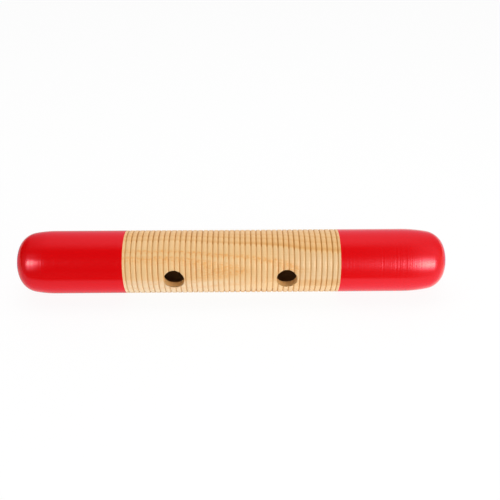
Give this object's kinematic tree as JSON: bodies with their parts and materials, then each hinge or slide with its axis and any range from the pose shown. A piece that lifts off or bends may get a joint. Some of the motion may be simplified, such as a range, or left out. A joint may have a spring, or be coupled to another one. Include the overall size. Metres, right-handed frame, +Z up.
{
  "type": "wooden guiro",
  "caption": "Turned wooden scraper tube: a ribbed natural barrel with round finger holes, closed by rounded, lacquered end caps; scraped with a stick to croak.",
  "frame": {"origin": "middle of the tube on its turning axis", "axes": "+X along the turning axis towards the picture's right end, -Y out of the finger holes, +Z up"},
  "size_m": [0.4, 0.059, 0.059],
  "materials": {
    "natural_wood": "clear satin varnish on pale flat-sawn wood",
    "red_lacquer": "gloss red lacquer over turned wood"
  },
  "bodies": {
    "root": {"ribbed_barrel": "natural_wood", "left_end_cap": "red_lacquer", "right_end_cap": "red_lacquer"}
  },
  "joints": []
}
